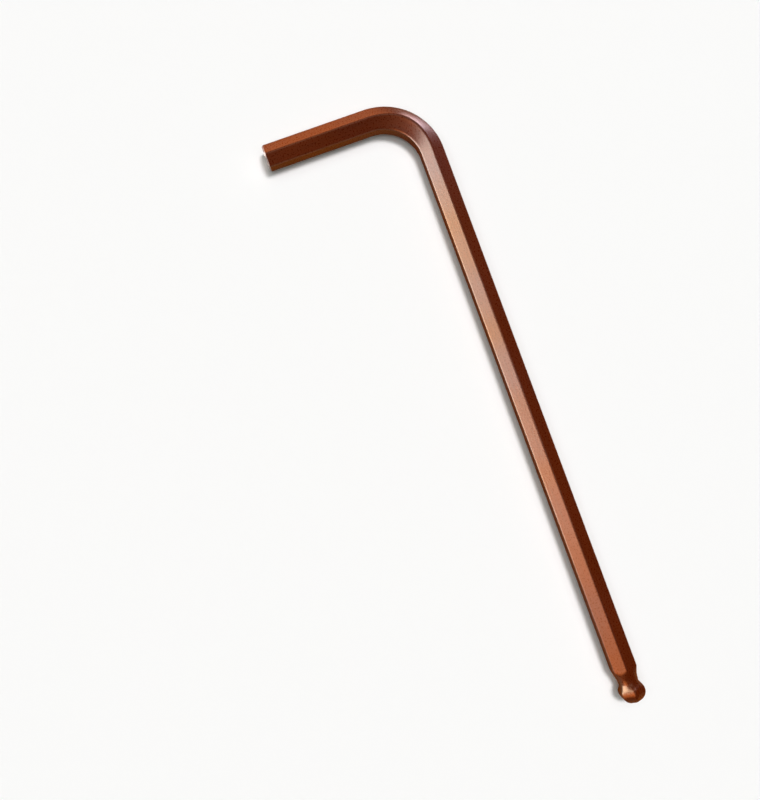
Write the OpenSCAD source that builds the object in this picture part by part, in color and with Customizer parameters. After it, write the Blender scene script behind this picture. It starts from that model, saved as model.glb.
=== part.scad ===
// Hex key: one hexagonal steel bar bent into an L, with a ball end on its long arm.
// The key lies flat. Its long arm runs along +X to the ball end, its short arm runs along -Y.
// A ridge of the hexagon is on top, so the bend has a flat face inside and a flat face outside.
// The origin is on the ground, under the middle of the key's outer box.

/* [Bar] */
// Size of the hexagon across its flats
across_flats = 4; // [3.5:0.1:6]
// Rounding along the six ridges
ridge_radius = 0.4; // [0.1:0.05:0.8]

/* [Arms] */
// Long arm, from the outer face of the short arm to the tip of the ball end
long_length = 107.7; // [60:0.1:200]
// Short arm, from the outer face of the long arm to its cut end
short_length = 29.1; // [20:0.1:60]
// Radius of the bend, at the middle of the bar
bend_radius = 8.7; // [6:0.1:14]

/* [Ball end] */
// How much smaller than the bar the ball is, across its flats
ball_undersize = 0.02; // [0:0.01:0.4]
// Small flat at the tip of the ball, across its own flats
tip_flat = 2; // [0.4:0.05:2.4]
// Depth of the turned neck, below the flats of the bar
neck_depth = 0.35; // [0.2:0.01:0.8]
// Narrowest place of the neck, from the tip
neck_from_tip = 3.3; // [2.8:0.05:5]
// Hollow radius of the neck on the side of the bar, large so that the bar tapers into it
neck_bar_radius = 3.8; // [2:0.1:12]
// Hollow radius of the neck on the side of the ball
neck_ball_radius = 1.3; // [0.8:0.05:2.5]

/* [Cut end] */
// Length of the turned chamfer on the end of the short arm
chamfer_length = 0.25; // [0.1:0.05:0.8]
// Slope of that chamfer against the axis of the arm, in degrees
chamfer_angle = 40; // [20:1:60]

/* [Hidden] */
$fn = 96;
QUARTER_TURN = 90;
// Angle at the middle of the hexagon from a corner to the flat next to it
HALF_SIDE_ANGLE = 30;
CORNER_ANGLES = [30:60:330];
// Angle from one pair of opposite faces of the ball to the next
PAIR_ANGLE = 60;
// How far a cutting shape reaches past the metal that it cuts
margin = 1;
// How far the corner circles stand proud of the flats, so that the two cross cleanly
crossing = 0.001;

apothem = across_flats / 2;
// The corner circles sit inside the hexagon and give its ridges their rounding
corner_circle_at = (apothem - ridge_radius) / cos(HALF_SIDE_ANGLE);
ridge_reach = corner_circle_at + ridge_radius;
blank_radius = ridge_reach + margin;

long_axis_y = short_length / 2 - apothem;
short_axis_x = apothem - long_length / 2;
bend_centre = [short_axis_x + bend_radius, long_axis_y - bend_radius];
long_straight = long_length / 2 - bend_centre[0];
short_straight = short_length / 2 + bend_centre[1];

ball_apothem = apothem - ball_undersize / 2;
// The ball's middle lies so far behind the tip that the end face has the size of tip_flat
ball_from_tip = sqrt(pow(ball_apothem, 2) - pow(tip_flat / 2, 2));
ball_ridge_reach = (ball_apothem - ridge_radius) / cos(HALF_SIDE_ANGLE) + ridge_radius;
neck_radius = apothem - neck_depth;

steel_brown = [0.44, 0.24, 0.13];

// Where a flat of the hexagon runs into the rounding of a corner, on either side of that corner
function touch_point(corner_angle, side) =
    corner_circle_at * [cos(corner_angle), sin(corner_angle)]
    + ridge_radius * [cos(corner_angle + side * HALF_SIDE_ANGLE), sin(corner_angle + side * HALF_SIDE_ANGLE)];

// Section of the bar, with corners on the Y axis and flats that face along the X axis
module bar_section() {
    union() {
        polygon([for (angle = CORNER_ANGLES) for (side = [-1, 1]) touch_point(angle, side)]);
        for (angle = CORNER_ANGLES)
            rotate(angle)
                translate([corner_circle_at, 0])
                    circle(ridge_radius + crossing);
    }
}

// The quarter turn between the arms, the same section carried round the bend
module bend() {
    translate([bend_centre[0], bend_centre[1], ridge_reach])
        rotate(QUARTER_TURN)
            rotate_extrude(angle = QUARTER_TURN)
                translate([bend_radius, 0])
                    bar_section();
}

// Ball end along +Z, from z = 0 at the start of the straight bar to the tip at z = long_straight
module ball_arm_stock() {
    neck_z = long_straight - neck_from_tip;
    ball_z = long_straight - ball_from_tip;
    union() {
        linear_extrude(neck_z)
            bar_section();
        translate([0, 0, neck_z])
            cylinder(h = ball_z - neck_z, r = neck_radius);
        translate([0, 0, ball_z])
            hex_ball();
    }
}

// Ball with six curved faces, around z = 0: a turned blank from the neck to the tip, cut by
// three crossed cylinders. The blank is part of a sphere, which rounds the ridges of the ball.
module hex_ball() {
    blank_bottom = ball_from_tip - neck_from_tip;
    intersection() {
        translate([0, 0, blank_bottom])
            cylinder(h = neck_from_tip, r = blank_radius);
        sphere(ball_ridge_reach);
        face_pair(0);
        face_pair(PAIR_ANGLE);
        face_pair(2 * PAIR_ANGLE);
    }
}

// A cylinder that lies across the bar makes two opposite faces of the ball
module face_pair(turn) {
    rotate([QUARTER_TURN, 0, turn])
        cylinder(h = 2 * across_flats, r = ball_apothem, center = true);
}

// Half outline of the lathe work on the ball end: X is the radius, Y runs to the tip.
// A quarter of a large circle leads from the bar down to the neck, and a quarter of a small
// circle leads up again to the ball.
module turned_outline() {
    neck_y = long_straight - neck_from_tip;
    difference() {
        translate([0, -margin])
            square([blank_radius, long_straight + margin]);
        hollow([neck_radius + neck_bar_radius, neck_y], neck_bar_radius, -neck_bar_radius);
        hollow([neck_radius + neck_ball_radius, neck_y], neck_ball_radius, 0);
    }
}

// One side of the neck: what a circle takes away there, with all that lies outside its middle
module hollow(middle, radius, band_start) {
    intersection() {
        translate([0, middle[1] + band_start])
            square([blank_radius, radius]);
        union() {
            translate(middle)
                circle(radius);
            translate([middle[0], middle[1] - radius])
                square([blank_radius, 2 * radius]);
        }
    }
}

module long_arm() {
    translate([bend_centre[0], long_axis_y, ridge_reach])
        rotate([QUARTER_TURN, 0, QUARTER_TURN])
            intersection() {
                ball_arm_stock();
                rotate_extrude()
                    turned_outline();
            }
}

// Straight piece of the short arm, with its end cut square and chamfered on the lathe
module short_arm() {
    end_radius = ridge_reach - chamfer_length * tan(chamfer_angle);
    cone_length = chamfer_length + margin;
    cone_radius = end_radius + cone_length * tan(chamfer_angle);
    translate([short_axis_x, bend_centre[1], ridge_reach])
        rotate([QUARTER_TURN, 0, 0])
            intersection() {
                linear_extrude(short_straight)
                    bar_section();
                union() {
                    translate([0, 0, -margin])
                        cylinder(h = short_straight - chamfer_length, r = cone_radius);
                    translate([0, 0, short_straight - cone_length])
                        cylinder(h = cone_length, r1 = cone_radius, r2 = end_radius);
                }
            }
}

module hex_key() {
    color(steel_brown)
        union() {
            long_arm();
            bend();
            short_arm();
        }
}

hex_key();
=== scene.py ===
"""Looks of the hex key: one bent hexagonal bar in a glossy copper-brown finish, lying on white.

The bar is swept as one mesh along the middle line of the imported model, with rounded ridges, the
ridge drift of a cold bend, the turned neck and the six-sided ball, and a bare cut end.
The key and the camera's place are in millimetres, the lamps and the floor in metres.
"""

import math
from collections.abc import Callable
from typing import NamedTuple

import bpy
from mathutils import Matrix, Vector

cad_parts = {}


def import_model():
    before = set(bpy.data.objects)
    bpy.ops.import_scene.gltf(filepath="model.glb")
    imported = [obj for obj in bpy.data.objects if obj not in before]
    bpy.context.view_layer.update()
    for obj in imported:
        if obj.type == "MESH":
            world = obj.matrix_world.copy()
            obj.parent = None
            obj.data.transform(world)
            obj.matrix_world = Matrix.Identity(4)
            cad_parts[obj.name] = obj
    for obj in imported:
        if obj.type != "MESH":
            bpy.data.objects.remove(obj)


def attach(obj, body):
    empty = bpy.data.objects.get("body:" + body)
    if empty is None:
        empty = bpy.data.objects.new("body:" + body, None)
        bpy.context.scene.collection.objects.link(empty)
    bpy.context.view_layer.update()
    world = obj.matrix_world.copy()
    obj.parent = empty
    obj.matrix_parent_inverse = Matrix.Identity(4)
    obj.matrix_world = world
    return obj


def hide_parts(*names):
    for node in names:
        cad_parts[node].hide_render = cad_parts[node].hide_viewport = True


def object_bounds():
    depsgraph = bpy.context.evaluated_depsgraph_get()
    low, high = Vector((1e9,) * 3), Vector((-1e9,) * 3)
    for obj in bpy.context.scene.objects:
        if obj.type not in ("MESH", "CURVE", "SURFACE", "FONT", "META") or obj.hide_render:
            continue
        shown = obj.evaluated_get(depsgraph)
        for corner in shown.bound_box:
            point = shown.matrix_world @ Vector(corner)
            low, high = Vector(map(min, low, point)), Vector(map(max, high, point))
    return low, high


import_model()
cad_low, cad_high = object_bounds()

MM = 0.001
LOW = Vector(cad_low) / MM
HIGH = Vector(cad_high) / MM

# The hexagon of the bar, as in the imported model. A flat is FLAT away from the middle of the bar,
# a ridge is REACH away from it, and the circle that rounds a ridge sits at CORNER_AT
HALF_SIDE = math.radians(30)
SIXTH_TURN = math.radians(60)
FLAT = 2.0
RIDGE_RADIUS = 0.4
CORNER_AT = (FLAT - RIDGE_RADIUS) / math.cos(HALF_SIDE)
REACH = CORNER_AT + RIDGE_RADIUS

# The middle line of the bar: up the short arm, round the bend and along the long arm to the tip
MIDDLE_Z = REACH
SHORT_X = LOW.x + FLAT
CUT_Y = LOW.y
LONG_Y = HIGH.y - FLAT
TIP_X = HIGH.x
BEND_RADIUS = 8.7
BEND_X = SHORT_X + BEND_RADIUS
BEND_Y = LONG_Y - BEND_RADIUS

# Degrees round the middle of the bend, where it leaves the short arm and where it meets the long one
BEND_FROM = 180
BEND_TO = 90

# How far the top and bottom ridges have drifted outwards in the middle of the bend
RIDGE_DRIFT = 0.40

# The ball end. Its places are measured back from the tip
BALL_FLAT = 1.99
TIP_FLAT = 1.0
BALL_BACK = math.sqrt(BALL_FLAT**2 - TIP_FLAT**2)
NECK_BACK = 3.3
NECK_RADIUS = 1.65
NECK_BAR_RADIUS = 3.8
NECK_BALL_RADIUS = 1.3

# Two surfaces of the ball end that are less than this apart are eased into one another
EDGE_EASE = 0.3

# The cut end
CHAMFER = 0.25
CHAMFER_SLOPE = math.tan(math.radians(40))

# Fineness of the mesh: lengths along the bar, degrees round the bend, and steps round the bar
ARM_STEP = 2.0
CHAMFER_STEP = CHAMFER / 3
FINE_LENGTH = 7.5
BALL_STEP = 0.045
BEND_STEP = 2.0
RIDGE_STEPS = 8
FLAT_STEPS = 20
SHARP_ANGLE = math.radians(30)
BAR_MAP = "bar"


class Ring(NamedTuple):
    """One ring of the sweep. Its reach depends on the angle and on back, which is how far it is
    from the cut end, or from the tip of the ball."""

    middle: Vector
    outward: Vector
    drift: float
    reach: Callable
    back: float


def touch_angle(corner_at):
    """Angle from a corner to the place where its rounding runs into a flat."""
    outward = corner_at + RIDGE_RADIUS * math.cos(HALF_SIDE)
    return math.atan2(RIDGE_RADIUS * math.sin(HALF_SIDE), outward)


def corner_reach(off, flat):
    """Reach of a rounded hexagon at the angle off from its nearest corner."""
    corner_at = (flat - RIDGE_RADIUS) / math.cos(HALF_SIDE)
    if off < touch_angle(corner_at):
        return corner_at * math.cos(off) + math.sqrt(RIDGE_RADIUS**2 - (corner_at * math.sin(off)) ** 2)
    return flat / math.cos(HALF_SIDE - off)


def off_corner(angle):
    """How far an angle is from the nearest corner of the hexagon, whose corners are at 30, 90..."""
    return abs((angle - HALF_SIDE + SIXTH_TURN / 2) % SIXTH_TURN - SIXTH_TURN / 2)


def ring_angles():
    """Angles round the bar, close together at the ridges."""
    touch = touch_angle(CORNER_AT)
    flat_width = SIXTH_TURN - 2 * touch
    angles = []
    for corner in range(6):
        middle = HALF_SIDE + SIXTH_TURN * corner
        angles += [middle + touch * (2 * i / RIDGE_STEPS - 1) for i in range(RIDGE_STEPS)]
        angles += [middle + touch + flat_width * i / FLAT_STEPS for i in range(FLAT_STEPS)]
    return angles


def hollow(distance, radius):
    """Reach left by one side of the turned neck, at a distance from its narrowest place."""
    if distance >= radius:
        return math.inf
    return NECK_RADIUS + radius - math.sqrt(radius**2 - distance**2)


def soft_least(first, second):
    """The smaller of two reaches, eased where they cross, as polishing and plating ease an edge."""
    near = max(EDGE_EASE - abs(first - second), 0) / EDGE_EASE
    return min(first, second) - near**2 * EDGE_EASE / 4


def soft_most(first, second):
    """The larger of two reaches, with the same easing."""
    return -soft_least(-first, -second)


def bar_reach(angle, back):
    """Reach of the bar at an angle, at a distance back from the tip of the ball."""
    off = off_corner(angle)
    if back >= NECK_BACK:
        return soft_least(corner_reach(off, FLAT), hollow(back - NECK_BACK, NECK_BAR_RADIUS))
    flat = math.sqrt(BALL_FLAT**2 - (back - BALL_BACK) ** 2)
    ball = corner_reach(off, flat)
    if back > BALL_BACK:
        ball = soft_most(ball, NECK_RADIUS)
    return soft_least(ball, hollow(NECK_BACK - back, NECK_BALL_RADIUS))


def cut_end_reach(angle, back):
    """Reach of the short arm at a distance back from its cut end, with the turned chamfer."""
    end_reach = REACH - CHAMFER * CHAMFER_SLOPE
    return min(corner_reach(off_corner(angle), FLAT), end_reach + back * CHAMFER_SLOPE)


def steps(start, end, step):
    """Evenly spaced values from start up to but not including end."""
    count = max(1, round(abs(end - start) / step))
    return [start + (end - start) * i / count for i in range(count)]


def rings():
    """The rings of the sweep, from the cut end to the tip of the ball."""
    made = []
    for back in steps(0, CHAMFER, CHAMFER_STEP) + steps(CHAMFER, BEND_Y - CUT_Y, ARM_STEP):
        middle = Vector((SHORT_X, CUT_Y + back, 0))
        made.append(Ring(middle, Vector((-1, 0, 0)), 0, cut_end_reach, back))
    for turn in steps(BEND_FROM, BEND_TO, BEND_STEP):
        outward = Vector((math.cos(math.radians(turn)), math.sin(math.radians(turn)), 0))
        middle = Vector((BEND_X, BEND_Y, 0)) + BEND_RADIUS * outward
        drift = math.sin(math.radians(2 * (BEND_FROM - turn))) ** 2
        made.append(Ring(middle, outward, drift, bar_reach, math.inf))
    fine_from = TIP_X - FINE_LENGTH
    for x in steps(BEND_X, fine_from, ARM_STEP) + steps(fine_from, TIP_X, BALL_STEP) + [TIP_X]:
        made.append(Ring(Vector((x, LONG_Y, 0)), Vector((0, 1, 0)), 0, bar_reach, TIP_X - x))
    return made


def ring_points(ring, angles):
    """Points of one ring. The drift moves its ridges outwards and leaves the inner and outer flat."""
    points = []
    for angle in angles:
        size = ring.reach(angle, ring.back)
        outward = size * math.cos(angle)
        outward += RIDGE_DRIFT * ring.drift * (1 - (outward / FLAT) ** 2)
        height = Vector((0, 0, size * math.sin(angle) + MIDDLE_Z))
        points.append(ring.middle + outward * ring.outward + height)
    return points


def running_lengths(points):
    """How far along the line through the points each of them lies."""
    lengths = [0.0]
    for before, after in zip(points, points[1:]):
        lengths.append(lengths[-1] + (after - before).length)
    return lengths


def side_faces(along, turned):
    """Faces from each ring to the next, and where their corners lie on the map."""
    around = len(turned) - 1
    faces = []
    places = []
    for ring in range(len(along) - 1):
        here = ring * around
        there = here + around
        for i in range(around):
            j = (i + 1) % around
            faces.append((here + i, there + i, there + j, here + j))
            places += [(along[ring], turned[i]), (along[ring + 1], turned[i])]
            places += [(along[ring + 1], turned[i + 1]), (along[ring], turned[i + 1])]
    return faces, places


def end_faces(first, centre, section, order):
    """Faces from an end ring to its centre, wound by order, and where their corners lie on the map."""
    faces = []
    places = []
    for i in range(len(section)):
        j = (i + 1) % len(section)
        edge = (first + i, first + j)[::order]
        faces.append((centre, *edge))
        places += [section[i], section[i], section[j]]
    return faces, places


def key_mesh():
    """The whole bar as one closed mesh, with a map in millimetres: along the bar, and round it."""
    angles = ring_angles()
    around = len(angles)
    all_rings = rings()
    points = []
    for ring in all_rings:
        points += ring_points(ring, angles)
    section = [Vector((math.cos(a), math.sin(a))) * bar_reach(a, math.inf) for a in angles]
    along = running_lengths([ring.middle for ring in all_rings])
    turned = running_lengths(section + section[:1])
    faces, places = side_faces(along, turned)
    # The last end is wound the other way round, so that both face outwards
    for ring, order in ((0, 1), (len(all_rings) - 1, -1)):
        first = ring * around
        centre = len(points)
        points.append(sum(points[first:first + around], Vector()) / around)
        end, end_places = end_faces(first, centre, section, order)
        faces += end
        places += end_places
    mesh = bpy.data.meshes.new("key")
    mesh.from_pydata([point * MM for point in points], [], faces)
    layer = mesh.uv_layers.new(name=BAR_MAP)
    for loop, place in zip(layer.data, places):
        loop.uv = place
    for polygon in mesh.polygons:
        polygon.use_smooth = True
    mesh.set_sharp_from_angle(angle=SHARP_ANGLE)
    return mesh


class Finish(NamedTuple):
    """A body colour between deep and pale, and a sheen between warm and cool.

    The drawn lines take the body from deep to pale over the range drawn of their noise.
    The sheen is half of the material and the body the other half, so both are written twice as
    strong as they show.
    """

    deep: tuple
    pale: tuple
    drawn: tuple
    sheen_warm: tuple
    sheen_cool: tuple
    roughness: tuple


class Pattern(NamedTuple):
    """A noise over the map, with so many features in a millimetre along the bar and round it."""

    along: float
    round: float
    detail: float


STREAKS = Pattern(along=0.10, round=5.0, detail=5)
MOTTLE = Pattern(along=3.5, round=3.5, detail=2)
CLOUDS = Pattern(along=0.05, round=0.02, detail=2)

# The ranges of the noises over which the sheen goes from warm to cool, and from smooth to rough
CLOUD_RANGE = (0.38, 0.62)
MOTTLE_RANGE = (0.3, 0.7)

SHEEN_EDGE = (0.75, 0.36, 0.20, 1)
SHEEN_SHARE = 0.5
BODY_ROUGHNESS = 0.9
BUMP_STRENGTH = 0.22
BUMP_DEPTH = 0.02

COPPER_BROWN = Finish(
    deep=(0.135, 0.0125, 0.0002, 1),
    pale=(0.200, 0.0220, 0.0004, 1),
    drawn=(0.35, 0.65),
    sheen_warm=(0.128, 0.087, 0.054, 1),
    sheen_cool=(0.106, 0.095, 0.084, 1),
    roughness=(0.24, 0.36),
)
BARE_STEEL = Finish(
    deep=(0.52, 0.40, 0.36, 1),
    pale=(0.80, 0.68, 0.64, 1),
    drawn=(0.3, 0.7),
    sheen_warm=(0.16, 0.14, 0.13, 1),
    sheen_cool=(0.16, 0.14, 0.13, 1),
    roughness=(0.40, 0.55),
)


def shader(name):
    """A new material and its node tree."""
    material = bpy.data.materials.new(name)
    material.use_nodes = True
    return material, material.node_tree


def noise(tree, place, pattern):
    """The noise of a pattern over the map of the bar."""
    mapping = tree.nodes.new("ShaderNodeMapping")
    mapping.inputs["Scale"].default_value = (pattern.along, pattern.round, 1)
    tree.links.new(place, mapping.inputs["Vector"])
    texture = tree.nodes.new("ShaderNodeTexNoise")
    texture.inputs["Scale"].default_value = 1
    texture.inputs["Detail"].default_value = pattern.detail
    tree.links.new(mapping.outputs["Vector"], texture.inputs["Vector"])
    return texture.outputs["Fac"]


def ranged(tree, value, low, high, to_low=0, to_high=1):
    """The value carried from the range low to high into the range to_low to to_high."""
    node = tree.nodes.new("ShaderNodeMapRange")
    node.inputs["From Min"].default_value = low
    node.inputs["From Max"].default_value = high
    node.inputs["To Min"].default_value = to_low
    node.inputs["To Max"].default_value = to_high
    tree.links.new(value, node.inputs["Value"])
    return node.outputs["Result"]


def colour_mix(tree, factor, first, second):
    """A colour that goes from first to second as the factor goes from 0 to 1."""
    node = tree.nodes.new("ShaderNodeMix")
    node.data_type = "RGBA"
    tree.links.new(factor, node.inputs["Factor"])
    first_socket, second_socket = [s for s in node.inputs if s.type == "RGBA"]
    first_socket.default_value = first
    second_socket.default_value = second
    return [s for s in node.outputs if s.type == "RGBA"][0]


def grain(tree, streaks, mottle):
    """Normals that follow the drawn lines and the mottle together."""
    height = tree.nodes.new("ShaderNodeMath")
    height.operation = "ADD"
    tree.links.new(streaks, height.inputs[0])
    tree.links.new(mottle, height.inputs[1])
    bump = tree.nodes.new("ShaderNodeBump")
    bump.inputs["Strength"].default_value = BUMP_STRENGTH
    bump.inputs["Distance"].default_value = BUMP_DEPTH * MM
    tree.links.new(height.outputs[0], bump.inputs["Height"])
    return bump.outputs["Normal"]


def finished(name, finish):
    """A body that scatters light, mixed with a sheen that stays faint at every angle."""
    material, tree = shader(name)
    sheen = tree.nodes["Principled BSDF"]
    sheen.inputs["Metallic"].default_value = 1
    sheen.inputs["Specular Tint"].default_value = SHEEN_EDGE
    body = tree.nodes.new("ShaderNodeBsdfPrincipled")
    body.inputs["Specular IOR Level"].default_value = 0
    body.inputs["Roughness"].default_value = BODY_ROUGHNESS
    uv_map = tree.nodes.new("ShaderNodeUVMap")
    uv_map.uv_map = BAR_MAP
    streaks, mottle, clouds = [noise(tree, uv_map.outputs["UV"], p) for p in (STREAKS, MOTTLE, CLOUDS)]
    drawn = ranged(tree, streaks, *finish.drawn)
    tree.links.new(colour_mix(tree, drawn, finish.deep, finish.pale), body.inputs["Base Color"])
    tone = ranged(tree, clouds, *CLOUD_RANGE)
    sheen_colour = colour_mix(tree, tone, finish.sheen_warm, finish.sheen_cool)
    tree.links.new(sheen_colour, sheen.inputs["Base Color"])
    tree.links.new(ranged(tree, mottle, *MOTTLE_RANGE, *finish.roughness), sheen.inputs["Roughness"])
    tree.links.new(grain(tree, streaks, mottle), sheen.inputs["Normal"])
    both = tree.nodes.new("ShaderNodeMixShader")
    both.inputs["Fac"].default_value = SHEEN_SHARE
    tree.links.new(body.outputs["BSDF"], both.inputs[1])
    tree.links.new(sheen.outputs["BSDF"], both.inputs[2])
    tree.links.new(both.outputs[0], tree.nodes["Material Output"].inputs["Surface"])
    return material


def copper_brown():
    """The finish of the whole bar, with drawn lines along it and a warm or cooler sheen."""
    return finished("copper_brown", COPPER_BROWN)


def bare_steel():
    """The cut end and its chamfer, where the saw and the lathe left the steel bare."""
    return finished("bare_steel", BARE_STEEL)


def key_object():
    """The key in its two finishes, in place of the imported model's solid."""
    made = bpy.data.objects.new("key", key_mesh())
    bpy.context.collection.objects.link(made)
    made.data.materials.append(copper_brown())
    made.data.materials.append(bare_steel())
    bare_to = CUT_Y + CHAMFER
    for polygon in made.data.polygons:
        if polygon.center.x < BEND_X * MM and polygon.center.y < bare_to * MM:
            polygon.material_index = 1
    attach(made, "root")
    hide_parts("hex_key")


# The photograph's camera, placed from the corner where the middle lines of the arms would meet.
# It looks almost straight down, and PICTURE_UP is the way on the floor that is up in the picture
CORNER = Vector((SHORT_X, LONG_Y, MIDDLE_Z))
CAMERA_FROM_CORNER = Vector((53.50, -24.98, 125.59))
AIM_FROM_CORNER = Vector((45.53, -22.65, 0))
PICTURE_UP = math.radians(160.31)
UP_ON_FLOOR = Vector((math.cos(PICTURE_UP), math.sin(PICTURE_UP), 0))

# The picture is taller than it is wide, so the sensor's size is that of its height. What is
# nearer or farther than the last two, in metres, isn't seen
FOCAL_PIXELS = 751.5
PICTURE_HEIGHT = 800
SENSOR = 36
NEAREST_SEEN = 0.001
FARTHEST_SEEN = 10


def camera():
    """The scene's camera, at the photograph's viewing angle."""
    data = bpy.data.cameras.new("camera")
    data.sensor_width = SENSOR
    data.lens = FOCAL_PIXELS * SENSOR / PICTURE_HEIGHT
    data.clip_start = NEAREST_SEEN
    data.clip_end = FARTHEST_SEEN
    made = bpy.data.objects.new("camera", data)
    bpy.context.collection.objects.link(made)
    back = (CAMERA_FROM_CORNER - AIM_FROM_CORNER).normalized()
    up = (UP_ON_FLOOR - UP_ON_FLOOR.dot(back) * back).normalized()
    turn = Matrix((up.cross(back), up, back)).transposed().to_4x4()
    made.matrix_world = Matrix.Translation((CORNER + CAMERA_FROM_CORNER) * MM) @ turn
    bpy.context.scene.camera = made


class Reflector(NamedTuple):
    """A soft box that only the gloss shows, in a direction of the picture: right, down, toward."""

    name: str
    direction: tuple
    width: float
    height: float
    radiance: float
    colour: tuple = (1, 1, 1)


# The left box makes the light face of the long arm, and its core that face's inner edge. The
# orange box warms the same face towards the ball. The low strip is the pale lilac shine outside
# the bend, and the upper strip the warm upper face of the short arm. The overhead box picks out
# the top ridge and lifts the dark face of the short arm a little
REFLECTORS = (
    Reflector("left_box", (-0.933, 0.02, 0.36), 1.20, 0.70, 12.2),
    Reflector("left_core", (-0.961, 0.02, 0.276), 0.65, 0.26, 5.5),
    Reflector("orange_box", (-0.579, 0.644, 0.5), 0.6, 0.56, 5.0, (1.0, 0.36, 0.12)),
    Reflector("low_strip", (0.39, -0.90, 0.20), 0.34, 0.28, 28, (0.80, 0.74, 0.94)),
    Reflector("overhead", (0, 0, 1), 0.45, 0.45, 1.2),
    Reflector("upper_strip", (-0.29, -0.90, 0.30), 0.6, 0.4, 6.4, (1.0, 0.42, 0.22)),
)
REFLECTOR_DISTANCE = 0.9

# The sun throws the shadow to the lower left of the picture, and the top lamp lightens it
SUN_DIRECTION = (0.20, -0.20, 0.96)
SUN_DISTANCE = 1
SUN_STRENGTH = 1.92
SUN_ANGLE = math.radians(14)
SUN_COLOUR = (1.0, 0.965, 0.975)
TOP_DIRECTION = (0, 0, 1)
TOP_DISTANCE = 1.5
TOP_SIZE = 2.0
TOP_POWER = 14.3
TOP_COLOUR = (0.88, 0.985, 1.0)


def in_picture(right, down, toward):
    """Direction in the model for one in the picture: right, down, and up from the floor."""
    side = UP_ON_FLOOR.cross(Vector((0, 0, 1)))
    return (side * right - UP_ON_FLOOR * down + Vector((0, 0, toward))).normalized()


def place_lamp(data, direction, distance):
    """A lamp at a distance from the corner of the key, facing it, that the camera doesn't see."""
    made = bpy.data.objects.new(data.name, data)
    bpy.context.collection.objects.link(made)
    outward = in_picture(*direction)
    made.location = CORNER * MM + outward * distance
    made.visible_camera = False
    made.rotation_mode = "QUATERNION"
    made.rotation_quaternion = outward.to_track_quat("Z", "Y")
    return made


def reflector(box):
    """One soft box. It lights nothing but the gloss, so the floor keeps its own light."""
    data = bpy.data.lights.new(box.name, "AREA")
    data.shape = "RECTANGLE"
    data.size = box.width
    data.size_y = box.height
    data.energy = box.radiance * math.pi * box.width * box.height
    data.color = box.colour
    place_lamp(data, box.direction, REFLECTOR_DISTANCE).visible_diffuse = False


def sun():
    """The lamp that throws the shadow. The gloss doesn't show it."""
    data = bpy.data.lights.new("sun", "SUN")
    data.energy = SUN_STRENGTH
    data.angle = SUN_ANGLE
    data.color = SUN_COLOUR
    place_lamp(data, SUN_DIRECTION, SUN_DISTANCE).visible_glossy = False


def top_lamp():
    """The wide lamp straight above. The gloss doesn't show it."""
    data = bpy.data.lights.new("top", "AREA")
    data.size = TOP_SIZE
    data.energy = TOP_POWER
    data.color = TOP_COLOUR
    place_lamp(data, TOP_DIRECTION, TOP_DISTANCE).visible_glossy = False


DIM_SURROUNDINGS = (0.05, 0.026, 0.004, 1)
WHITE = (1, 1, 1, 1)


def world():
    """White behind the floor's edge; the surroundings that light and gloss find are dim."""
    made = bpy.data.worlds.new("studio")
    made.use_nodes = True
    bpy.context.scene.world = made
    nodes = made.node_tree.nodes
    links = made.node_tree.links
    path = nodes.new("ShaderNodeLightPath")
    dim = nodes["Background"]
    dim.inputs["Color"].default_value = DIM_SURROUNDINGS
    seen = nodes.new("ShaderNodeBackground")
    seen.inputs["Color"].default_value = WHITE
    mix = nodes.new("ShaderNodeMixShader")
    links.new(path.outputs["Is Camera Ray"], mix.inputs["Fac"])
    links.new(dim.outputs[0], mix.inputs[1])
    links.new(seen.outputs[0], mix.inputs[2])
    links.new(mix.outputs[0], nodes["World Output"].inputs["Surface"])


FLOOR_HALF = 1.2
FLOOR_WHITE = (0.97, 0.97, 0.97, 1)
FLOOR_ROUGHNESS = 0.9
FLOOR_CORNERS = ((-1, -1), (1, -1), (1, 1), (-1, 1))


def floor():
    """The matt white floor that the key lies on."""
    mesh = bpy.data.meshes.new("floor")
    corners = [(x * FLOOR_HALF, y * FLOOR_HALF, 0) for x, y in FLOOR_CORNERS]
    mesh.from_pydata(corners, [], [(0, 1, 2, 3)])
    made = bpy.data.objects.new("floor", mesh)
    bpy.context.collection.objects.link(made)
    material, tree = shader("white_floor")
    surface = tree.nodes["Principled BSDF"]
    surface.inputs["Base Color"].default_value = FLOOR_WHITE
    surface.inputs["Roughness"].default_value = FLOOR_ROUGHNESS
    surface.inputs["Specular IOR Level"].default_value = 0
    mesh.materials.append(material)


key_object()
camera()
for box in REFLECTORS:
    reflector(box)
sun()
top_lamp()
world()
floor()
bpy.context.scene.view_settings.view_transform = "Standard"
